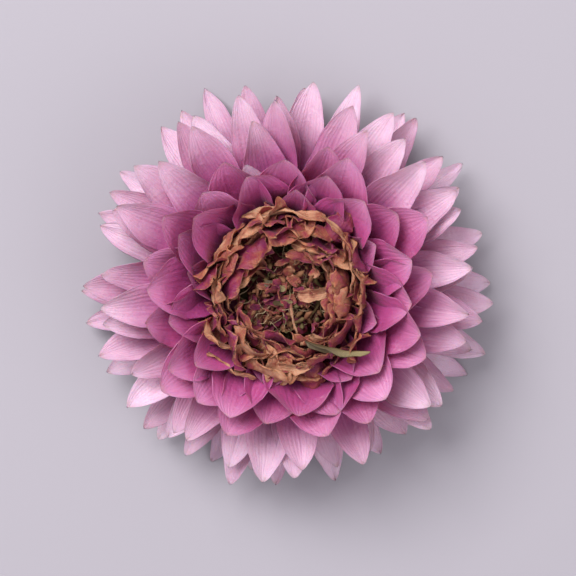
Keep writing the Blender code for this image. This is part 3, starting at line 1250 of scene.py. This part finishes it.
@dataclass(frozen=True)
class Crowd:
    """A seeded crowd of loose withered sheets in a band round the axis. Angles are in degrees."""

    count: int
    seed: int
    radius: Pair
    height: Pair
    length: Pair
    width: Pair
    lift: Pair
    curl: Pair
    tone: Pair
    yaw: Pair = (-20.0, 20.0)
    roll: Pair = (0.0, 0.0)
    twist: Pair = (-40.0, 40.0)
    cup: Pair = (-0.3, 0.4)
    sway: Pair = (-0.1, 0.1)

    def layout(self) -> tuple[list[Bract], list[float]]:
        """Places the sheets.

        Returns:
            The sheets, and how far each has dried.
        """
        draw = np.random.default_rng(self.seed)
        sheets, tones = [], []
        for k in range(self.count):
            share = iter(draw.uniform(0.0, 1.0, 13))
            sheets.append(
                Bract(
                    azimuth=(k + next(share)) * 2 * math.pi / self.count,
                    root_radius=between(self.radius, next(share)),
                    root_height=between(self.height, next(share)),
                    length=between(self.length, next(share)),
                    half_width=0.5 * between(self.width, next(share)),
                    lift=math.radians(between(self.lift, next(share))),
                    curl=math.radians(between(self.curl, next(share))),
                    cup=between(self.cup, next(share)),
                    twist=math.radians(between(self.twist, next(share))),
                    sway=between(self.sway, next(share)),
                    yaw=math.radians(between(self.yaw, next(share))),
                    roll=math.radians(between(self.roll, next(share))),
                )
            )
            tones.append(between(self.tone, next(share)))
        return sheets, tones


def flap(
    azimuth: float, radius: float, height: float, length: float, width: float, lift: float, curl: float,
    yaw: float = 0.0, roll: float = 0.0, sway: float = 0.0, twist: float = 0.0, cup: float = 0.1,
) -> Bract:
    """One loose sheet from plain numbers.

    Args:
        azimuth: Where it is rooted round the axis, in degrees.
        radius: How far out it is rooted, in millimetres.
        height: How high it is rooted, in millimetres.
        length: Its length in millimetres.
        width: Its width in millimetres.
        lift: Its slope at the root, in degrees.
        curl: How far its slope turns along it, in degrees.
        yaw: How far it heads off the way straight out, in degrees.
        roll: How far it is rolled on its own length, in degrees.
        sway: How far its tip bends aside, as a share of its length.
        twist: How far it is twisted along it, in degrees.
        cup: How deeply it is cupped.

    Returns:
        The sheet.
    """
    turns = [math.radians(angle) for angle in (azimuth, lift, curl, twist, yaw, roll)]
    return Bract(
        azimuth=turns[0], root_radius=radius * MM, root_height=height * MM, length=length * MM,
        half_width=0.5 * width * MM, lift=turns[1], curl=turns[2], cup=cup, twist=turns[3], sway=sway,
        yaw=turns[4], roll=turns[5],
    )


def gathered(
    placed: tuple[tuple[Bract, Tone], ...], crowds: tuple[Crowd, ...]
) -> tuple[list[Bract], list[float]]:
    """Puts the sheets placed one by one and those of each crowd in one list.

    Args:
        placed: Sheets with their tones.
        crowds: The crowds that follow them.

    Returns:
        The sheets, and how far each has dried.
    """
    sheets = [sheet for sheet, tone in placed]
    tones = [tone.value for sheet, tone in placed]
    for crowd in crowds:
        more, more_tones = crowd.layout()
        sheets, tones = sheets + more, tones + more_tones
    return sheets, tones


def loose_columns(sheets: list[Bract], tones: list[float], seed: int) -> dict[str, object]:
    """Lists what the points of loose withered sheets carry.

    Args:
        sheets: The sheets in their places.
        tones: How far each has dried.
        seed: Seed of the draw that sets them apart.

    Returns:
        The numbers for each name, in the sheets' order.
    """
    flat = np.zeros(len(sheets))
    columns = bract_columns(sheets, np.random.default_rng(seed))
    return columns | {"hook": flat, "depth": flat, "tone": tones}


@dataclass
class WitheredRing(Whorl):
    """The shrivelled ring: the solid's bracts broken off short, and looser sheets crumpled in among them."""

    crowds: tuple[Crowd, ...] = ()
    flaps: tuple[tuple[Bract, Tone], ...] = ()

    def columns(self, bracts: list[Bract]) -> dict[str, object]:
        """What each bract carries, with how far it has dried."""
        draw = np.random.default_rng(self.seed + TONE_SEED)
        return super().columns(bracts) | {"tone": draw.uniform(0.0, 0.85, len(bracts))}

    def build(self, blades: BladeTree) -> bpy.types.Object:
        """Grows the bracts on their ring, then the looser sheets.

        Args:
            blades: The tree that bends a blade for each of them.

        Returns:
            The ring as one mesh object.
        """
        ring = super().build(blades)
        columns = loose_columns(*gathered(self.flaps, self.crowds), self.seed + SHEETS_SEED)
        points = carrying_points(self.node + "_sheets", columns)
        looser = {"Around": 24, "Along": 24, "Claw": 0.7, "Widest": 0.45, "Point": 0.42}
        looser |= {"Folds": self.folds * 0.9, "Finish": ring.data.materials[0]}
        inputs = self.blade_inputs() | looser
        return merged(ring, [blades.grow(self.node + "_loose", points, inputs)])


@dataclass(frozen=True)
class Tubes:
    """One kind of thin tube on the disc, with its shape as the inputs of the tree that grows it."""

    name: str
    count: int
    rise: Pair
    radius: float
    spread: float
    finish: DustFinish
    shape: dict[str, float]


@dataclass(frozen=True)
class FloretDisc:
    """The withered florets of the disc, the fine bristles between them and the flakes caught there."""

    node: str
    height: float
    field: float
    tubes: tuple[Tubes, ...]
    bed_finish: TissueFinish
    flakes: tuple[tuple[Bract, Tone], ...]
    crowds: tuple[Crowd, ...]
    flake_finish: WitheredFinish
    shreds: tuple[Bract, ...]
    shred_finish: DustFinish
    seed: int = 71
    bed_inset: float = 0.1 * MM
    bed_wall: float = 0.4 * MM
    bed_crown: float = 0.6 * MM

    def places(self, tubes: Tubes, seed: int) -> dict[str, object]:
        """Golden-angle places over the disc.

        Args:
            tubes: What stands on them.
            seed: Seed of the draw.

        Returns:
            What each one's point carries.
        """
        draw = np.random.default_rng(seed)
        k = np.arange(tubes.count)
        out = self.field * np.sqrt((k + 0.5) / tubes.count)
        angle = k * GOLDEN_ANGLE + draw.uniform(-0.3, 0.3, tubes.count)
        return {
            "foot_x": out * np.cos(angle),
            "foot_y": out * np.sin(angle),
            "foot_z": np.full(tubes.count, self.height),
            "heading": draw.uniform(-math.pi, math.pi, tubes.count),
            "rise": draw.uniform(*tubes.rise, tubes.count),
            "thick": tubes.radius * draw.uniform(0.6, 1.4, tubes.count),
            "lean": draw.uniform(0.0, 1.0, tubes.count) * tubes.spread,
            "droop": draw.uniform(-0.6, 1.0, tubes.count) * tubes.spread,
            "phase": draw.uniform(0.0, 1.0, tubes.count),
            "tint": draw.uniform(0.0, 1.0, tubes.count),
        }

    def build(self, blades: BladeTree, dust: DustTree) -> bpy.types.Object:
        """Grows the florets, the bristles, the flakes caught in them and the bed under them.

        Args:
            blades: The tree that bends a blade for each flake.
            dust: The tree that grows a tube on each point.

        Returns:
            The disc as one mesh object.
        """
        grown = []
        for step, tubes in enumerate(self.tubes):
            points = carrying_points(tubes.name + "_points", self.places(tubes, self.seed + step))
            inputs = tubes.shape | {"Finish": tubes.finish.material()}
            grown.append(dust.grow(tubes.name, points, inputs))
        bed = turned("bed", self.bed_outline(), closed=False)
        bed.data.materials.append(self.bed_finish.material())
        return merged(grown[0], [*grown[1:], bed, self.caught_flakes(blades)])

    def caught_flakes(self, blades: BladeTree) -> bpy.types.Object:
        """Grows the small broken sheets that lie among the florets, and the shreds over them.

        Args:
            blades: The tree that bends a blade for each of them.

        Returns:
            The flakes and shreds as one mesh object.
        """
        columns = loose_columns(*gathered(self.flakes, self.crowds), self.seed + SHEETS_SEED)
        points = carrying_points("flake_points", columns)
        inputs = {
            "Around": 16,
            "Along": 16,
            "Claw": 0.6,
            "Widest": 0.4,
            "Point": 0.5,
            "Thickness": 0.10 * MM,
            "Ripple": 0.3,
            "Ragged": 0.6,
            "Crumple": 0.14,
            "Folds": 1.8,
            "Finish": self.flake_finish.material(),
        }
        caught = blades.grow("flakes", points, inputs)
        columns = loose_columns(list(self.shreds), [0.0] * len(self.shreds), self.seed)
        points = carrying_points("shred_points", columns)
        inputs |= {"Crumple": 0.10, "Ragged": 1.0, "Finish": self.shred_finish.material()}
        return merged(caught, [blades.grow("shreds", points, inputs)])

    def bed_outline(self) -> list[Pair]:
        """Outlines the low dome that the florets stand on, inside its solid.

        Returns:
            The points as (radius, height), from the lower pole up.
        """
        low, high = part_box(self.node)
        edge = high.x - self.bed_inset
        rim = low.z + self.bed_wall
        turns = np.linspace(0.0, 1.4, 6)
        dome = [(edge * math.cos(turn), rim + self.bed_crown * math.sin(turn)) for turn in turns]
        return [(0.0, low.z), (edge, low.z), *dome, (0.0, rim + self.bed_crown)]


@dataclass
class Receptacle:
    """The cone that carries every bract, with the flat scar of the cut stem under it."""

    node: str
    finish: TissueFinish
    disc_height: float = 9.2 * MM
    scar_bevel: float = 0.1 * MM
    skin_inset: float = 0.02 * MM
    levels: int = 30
    sides: int = 108
    ribs: int = 9
    rib_depth: float = 0.10 * MM
    rib_reach: float = 3.0 * MM

    def build(self) -> bpy.types.Object:
        """Turns the cone through its solid's outline and raises low ribs along its stump.

        Returns:
            The cone as one mesh object.
        """
        heights = np.linspace(0.0, RECEPTACLE_FLANK[-1][1], self.levels)
        outline = [(0.0, 0.0), (flank_radius(0.0) - self.scar_bevel, 0.0)]
        outline += [(flank_radius(z) - self.skin_inset, float(z)) for z in heights[1:]]
        outline.append((0.0, self.disc_height))
        cone = turned(self.node + "_skin", outline, closed=False, sides=self.sides)
        scar_radius = RECEPTACLE_FLANK[0][0]
        for vertex in cone.data.vertices:
            x, y, z = vertex.co
            fade = max(0.0, 1.0 - z / self.rib_reach)
            groove = 0.5 + 0.5 * math.cos(self.ribs * math.atan2(y, x))
            rib = 1.0 - self.rib_depth * fade * groove / scar_radius
            vertex.co.x, vertex.co.y = x * rib, y * rib
        cone.data.materials.append(self.finish.material())
        return cone


@dataclass(frozen=True)
class Studio:
    """A pale floor, soft lights and a camera that looks down on the head as the photograph does.

    The head in the photograph leans a little towards the bottom of the picture, so the camera stands
    just past the point above it, on the far side.
    """

    target: Vector = Vector((0.0, 0.0, 7.0 * MM))
    past_overhead: float = 8.0
    distance: float = 0.42
    seen_width: float = 54.0 * MM
    sensor_width: float = 36.0
    nearest: float = 0.01
    floor_size: float = 3.0
    floor_colour: Colour = display(166, 160, 168)
    floor_roughness: float = 0.75
    sky_colour: Colour = (0.88, 0.88, 0.94, 1.0)
    sky_strength: float = 0.60

    def build(self) -> None:
        """Sets up the floor, the lights and the camera."""
        self.floor()
        self.lights()
        self.camera()

    def floor(self) -> None:
        """Lays the floor at the height the head rests on."""
        half = self.floor_size / 2
        mesh = bpy.data.meshes.new("floor")
        corners = [(-half, -half, 0.0), (half, -half, 0.0), (half, half, 0.0), (-half, half, 0.0)]
        mesh.from_pydata(corners, [], [(0, 1, 2, 3)])
        plane = bpy.data.objects.new("floor", mesh)
        bpy.context.scene.collection.objects.link(plane)
        material = bpy.data.materials.new("Pale floor")
        material.use_nodes = True
        shader = material.node_tree.nodes["Principled BSDF"]
        shader.inputs["Base Color"].default_value = self.floor_colour
        shader.inputs["Roughness"].default_value = self.floor_roughness
        mesh.materials.append(material)

    def lights(self) -> None:
        """A soft key from the upper left, a broad weak fill from the right and an even pale sky."""
        self.lamp("key", Vector((-0.20, 0.26, 0.40)), size=0.30, power=3.4)
        self.lamp("fill", Vector((0.36, -0.22, 0.30)), size=0.45, power=0.8)
        world = bpy.data.worlds.new("Studio sky")
        bpy.context.scene.world = world
        world.use_nodes = True
        sky = world.node_tree.nodes["Background"]
        sky.inputs["Color"].default_value = self.sky_colour
        sky.inputs["Strength"].default_value = self.sky_strength

    def lamp(self, name: str, place: Vector, size: float, power: float) -> None:
        """Adds a square area light that faces the head.

        Args:
            name: Name of the light.
            place: Where it stands.
            size: Length of its side.
            power: Its power in watts.
        """
        light = bpy.data.lights.new(name, "AREA")
        light.size = size
        light.energy = power
        lamp = bpy.data.objects.new(name, light)
        lamp.location = place
        lamp.rotation_euler = (self.target - place).to_track_quat("-Z", "Y").to_euler()
        bpy.context.scene.collection.objects.link(lamp)

    def camera(self) -> None:
        """Sets the camera up, with +Y at the top of its picture."""
        tilt = math.radians(self.past_overhead)
        away = Vector((0.0, math.sin(tilt), math.cos(tilt)))
        right = Vector((1.0, 0.0, 0.0))
        up = away.cross(right)
        data = bpy.data.cameras.new("camera")
        data.sensor_width = self.sensor_width
        data.lens = data.sensor_width * self.distance / self.seen_width
        data.clip_start = self.nearest
        camera = bpy.data.objects.new("camera", data)
        turn = Matrix((right, up, away)).transposed().to_4x4()
        camera.matrix_world = Matrix.Translation(self.target + away * self.distance) @ turn
        bpy.context.scene.collection.objects.link(camera)
        bpy.context.scene.camera = camera
        bpy.context.scene.view_settings.view_transform = "Standard"


def inner_whorl(groups: PaperGroups) -> Whorl:
    """The broad deep-magenta bracts round the ring.

    Args:
        groups: The effects that its finish shares.

    Returns:
        The whorl, ready to build.
    """
    return Whorl(
        node="inner_bracts",
        seed=11,
        count=34,
        turn=0.0,
        root_height=(8.2 * MM, 7.3 * MM),
        length=(7.4 * MM, 9.6 * MM),
        width=(5.2 * MM, 4.4 * MM),
        lift=(61.0, 42.0),
        curl=(-20.0, -20.0),
        cup=(0.18, 0.16),
        ring_wall=1.5 * MM,
        ring_margin=(0.40 * MM, 0.40 * MM),
        claw=0.55,
        widest=0.60,
        point=0.66,
        keel=0.10,
        broadened=1.32,
        uneven=(0.93, 1.05),
        stray=0.18,
        crumple=0.022,
        ripple=0.14,
        tucked=8,
        depth=(0.0, 0.35),
        finish=PaperFinish(
            name="Magenta papery bract",
            root=display(122, 22, 78),
            body=display(166, 66, 122),
            tip=display(210, 146, 186),
            # Painted shade along the edges.
            rim=display(156, 62, 116),
            fade=(0.50, 1.08),
            groups=groups,
        ),
    )


def outer_whorl(groups: PaperGroups) -> Whorl:
    """The long bracts that fade to pale pink, with the three lowest laid down on the surface.

    Args:
        groups: The effects that its finish shares.

    Returns:
        The whorl, ready to build.
    """
    return Whorl(
        node="outer_bracts",
        seed=23,
        count=84,
        turn=34 * GOLDEN_ANGLE,
        root_height=(5.3 * MM, 3.2 * MM),
        length=(12.0 * MM, 14.6 * MM),
        width=(4.5 * MM, 3.4 * MM),
        lift=(36.0, -2.0),
        curl=(-20.0, -16.0),
        cup=(0.16, 0.14),
        ring_wall=1.5 * MM,
        ring_margin=(0.55 * MM, 0.45 * MM),
        claw=0.36,
        widest=0.68,
        point=0.74,
        keel=0.12,
        broadened=1.06,
        resting=3,
        tucked=13,
        tucked_rise=1.7 * MM,
        tucked_length=(5.6 * MM, 7.4 * MM),
        tucked_lift=(44.0, 38.0),
        depth=(0.35, 0.9),
        finish=PaperFinish(
            name="Pink papery bract",
            root=display(132, 30, 90),
            body=display(178, 86, 142),
            tip=display(227, 191, 212),
            # Painted shade along the edges.
            rim=display(190, 112, 158),
            fade=(0.44, 0.97),
            groups=groups,
        ),
    )


def scale_whorl(groups: PaperGroups) -> Whorl:
    """The short straw-coloured scales on the underside.

    Args:
        groups: The effects that its finish shares.

    Returns:
        The whorl, ready to build.
    """
    return Whorl(
        node="base_scales",
        seed=37,
        count=24,
        turn=118 * GOLDEN_ANGLE,
        root_height=(2.1 * MM, 1.5 * MM),
        length=(6.4 * MM, 3.4 * MM),
        width=(3.4 * MM, 2.8 * MM),
        lift=(-8.0, -12.0),
        curl=(-6.0, -4.0),
        cup=(0.10, 0.08),
        ring_wall=1.1 * MM,
        ring_margin=(0.35 * MM, -0.15 * MM),
        claw=0.70,
        widest=0.50,
        point=0.70,
        wander=0.5,
        crumple=0.05,
        ripple=0.28,
        tucked=26,
        tucked_depth=0.1,
        tucked_rise=-0.9 * MM,
        tucked_length=(3.2 * MM, 2.0 * MM),
        tucked_lift=(-10.0, -14.0),
        depth=(0.5, 1.0),
        finish=PaperFinish(
            name="Straw papery scale",
            root=display(128, 92, 58),
            body=display(176, 138, 98),
            tip=display(214, 182, 160),
            # Painted shade along the edges.
            rim=display(140, 96, 66),
            fade=(0.45, 1.0),
            groups=groups,
        ),
    )


def withered_ring(finish: WitheredFinish) -> WitheredRing:
    """The crumpled ring that leans in over the disc.

    Args:
        finish: Its paper.

    Returns:
        The ring, ready to build.
    """
    standing = Crowd(
        count=58,
        seed=101,
        radius=(4.4 * MM, 7.5 * MM),
        height=(10.0 * MM, 10.8 * MM),
        length=(2.8 * MM, 4.4 * MM),
        width=(2.4 * MM, 4.8 * MM),
        lift=(66.0, 98.0),
        curl=(0.0, 60.0),
        tone=(0.0, 0.7),
        twist=(-35.0, 35.0),
    )
    rolled = Crowd(
        count=18,
        seed=102,
        radius=(4.2 * MM, 7.0 * MM),
        height=(11.4 * MM, 13.4 * MM),
        length=(2.6 * MM, 5.0 * MM),
        width=(0.7 * MM, 1.6 * MM),
        lift=(-8.0, 12.0),
        curl=(-20.0, 20.0),
        tone=(0.3, 0.95),
        yaw=(70.0, 110.0),
        roll=(35.0, 100.0),
        sway=(0.22, 0.45),
    )
    flaps = (
        (flap(62, 7.9, 12.3, 7.4, 1.5, 2, -4, yaw=92, roll=58, sway=0.44), Tone.TAN),
        (flap(120, 7.8, 12.0, 4.6, 1.3, 2, -6, yaw=95, roll=70, sway=0.30), Tone.OCHRE),
        (flap(54, 6.5, 12.6, 3.2, 2.6, 20, -50, cup=-0.3), Tone.PURPLE),
        (flap(205, 6.9, 11.6, 3.2, 2.6, 18, -70, cup=-0.2), Tone.OCHRE),
        (flap(250, 8.3, 12.0, 5.2, 1.3, 0, 4, yaw=-84, roll=-62, sway=-0.26), Tone.TAN),
        (flap(263, 5.5, 12.6, 3.0, 2.6, 10, -50, cup=0.2), Tone.TAN),
        (flap(286, 6.2, 12.2, 3.4, 3.0, 16, -60, cup=-0.3), Tone.RUST),
        (flap(330, 6.9, 12.0, 4.6, 1.6, 6, -8, yaw=92, roll=60, sway=0.36), Tone.OCHRE),
        (flap(30, 4.4, 13.0, 4.4, 1.2, 4, -10, yaw=88, roll=75, sway=0.44), Tone.TAN),
        (flap(150, 6.8, 12.2, 4.4, 1.4, 4, -8, yaw=90, roll=80, sway=0.34), Tone.TAN),
    )
    return WitheredRing(
        node="withered_bracts",
        seed=53,
        count=24,
        turn=0.4,
        root_height=(10.1 * MM, 9.9 * MM),
        length=(4.8 * MM, 6.6 * MM),
        width=(3.6 * MM, 4.8 * MM),
        lift=(66.0, 14.0),
        curl=(95.0, 150.0),
        cup=(0.10, 0.10),
        ring_wall=1.7 * MM,
        ring_inset=1.3 * MM,
        ring_margin=(0.40 * MM, 0.40 * MM),
        root_depth=(0.25, 0.85),
        claw=0.60,
        widest=0.50,
        point=0.55,
        wander=1.6,
        thickness=0.14 * MM,
        ripple=0.30,
        ragged=0.5,
        crumple=0.26,
        uneven=(0.5, 1.0),
        folds=2.0,
        around=28,
        along=30,
        depth=(0.0, 1.0),
        finish=finish,
        crowds=(standing, rolled),
        flaps=flaps,
    )


def floret_disc(groups: PaperGroups, tissue: TissueFinish, withered: WitheredFinish) -> FloretDisc:
    """The matted florets in the middle, with the broken flakes caught in them.

    Args:
        groups: The effects that the finishes share.
        tissue: The stem's tissue, for the bed to take after.
        withered: The ring's paper, for the flakes to take after.

    Returns:
        The disc, ready to build.
    """
    flakes = (
        (flap(8, 0.8, 12.6, 3.1, 1.3, 4, -14, yaw=-4, roll=12, sway=0.05, cup=0.3), Tone.TAN),
        (flap(140, 1.0, 12.2, 2.2, 0.9, 6, -10, yaw=30, roll=-20), Tone.OCHRE),
        (flap(-59, 0.6, 12.9, 3.4, 0.28, 8, -16, yaw=-34, sway=0.28), Tone.TAN),
    )
    shreds = (
        flap(-69, 4.2, 13.9, 6.2, 0.8, 6, -20, yaw=50, roll=30, twist=110, sway=0.14, cup=0.6),
        flap(150, 2.6, 12.3, 2.2, 0.8, 10, -20, yaw=190, roll=-15, twist=30),
        flap(205, 1.6, 12.3, 1.9, 0.7, 10, -10, yaw=160, roll=25),
    )
    crumbs = Crowd(
        count=44,
        seed=103,
        radius=(0.4 * MM, 4.5 * MM),
        height=(10.6 * MM, 12.4 * MM),
        length=(1.0 * MM, 2.6 * MM),
        width=(0.5 * MM, 1.5 * MM),
        lift=(-10.0, 70.0),
        curl=(-60.0, 60.0),
        tone=(0.0, 0.7),
        yaw=(-180.0, 180.0),
        roll=(-60.0, 60.0),
        twist=(-60.0, 60.0),
    )
    florets = Tubes(
        name="disc_florets_paper",
        count=120,
        rise=(0.9 * MM, 2.7 * MM),
        radius=0.24 * MM,
        spread=0.8,
        finish=DustFinish(
            name="Withered floret",
            foot=display(106, 38, 46),
            tip=display(132, 86, 56),
            odd=display(98, 84, 48),
            groups=groups,
        ),
        shape={
            "Around": 8,
            "Along": 6,
            "Waist": 0.6,
            "Mouth": 1.5,
            "Lobes": 4.0,
            "Lobe depth": 0.5,
            "Crumple": 0.6,
        },
    )
    bristles = Tubes(
        name="bristles",
        count=150,
        rise=(1.2 * MM, 3.2 * MM),
        radius=0.04 * MM,
        spread=1.1,
        finish=DustFinish(
            name="Floret bristle",
            foot=display(120, 84, 58),
            tip=display(196, 170, 134),
            odd=display(112, 104, 64),
            groups=groups,
        ),
        shape={"Around": 4, "Along": 8, "Waist": 1.0, "Mouth": 0.25, "Lobe depth": 0.0, "Crumple": 0.9},
    )
    return FloretDisc(
        node="disc_florets",
        height=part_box("disc_florets")[0].z + 0.7 * MM,
        field=3.6 * MM,
        tubes=(florets, bristles),
        bed_finish=replace(
            tissue, name="Disc tissue", skin=display(132, 42, 58), streak=display(96, 30, 42)
        ),
        flakes=flakes,
        crowds=(crumbs,),
        flake_finish=replace(withered, name="Caught flake"),
        shreds=shreds,
        shred_finish=DustFinish(
            name="Olive shred",
            foot=display(86, 70, 46),
            tip=display(140, 124, 84),
            odd=display(112, 100, 60),
            groups=groups,
            roughness=0.55,
        ),
    )


def main() -> None:
    """Builds the head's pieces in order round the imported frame."""
    logging.basicConfig(level=logging.INFO, format="%(name)s: %(message)s")
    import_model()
    groups = PaperGroups()
    blades, dust = BladeTree(), DustTree()
    tissue = TissueFinish(
        name="Dry stem tissue",
        skin=display(134, 122, 78),
        streak=display(96, 78, 48),
        pith=display(214, 200, 160),
        scar_radius=RECEPTACLE_FLANK[0][0],
        groups=groups,
    )
    withered = WitheredFinish(
        name="Shrivelled bract",
        stops=(display(122, 32, 74), display(136, 50, 64), display(152, 84, 64), display(190, 136, 106)),
        # The rim colour is a painted highlight along the edges and tips of the shrivelled paper.
        rim=display(188, 120, 78),
        groups=groups,
    )
    disc = floret_disc(groups, tissue, withered)
    receptacle = Receptacle("receptacle", tissue)
    whorls = (scale_whorl(groups), outer_whorl(groups), inner_whorl(groups), withered_ring(withered))
    pieces = [(whorl.node, whorl.build(blades)) for whorl in whorls]
    pieces += [(disc.node, disc.build(blades, dust)), (receptacle.node, receptacle.build())]
    for node, piece in pieces:
        piece.name = node + "_finished"
        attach(piece, ROOT_BODY)
        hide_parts(node)
        log.info("%s stands for %s with %d faces", piece.name, node, len(piece.data.polygons))
    Studio().build()


if __name__ == "__main__":
    main()
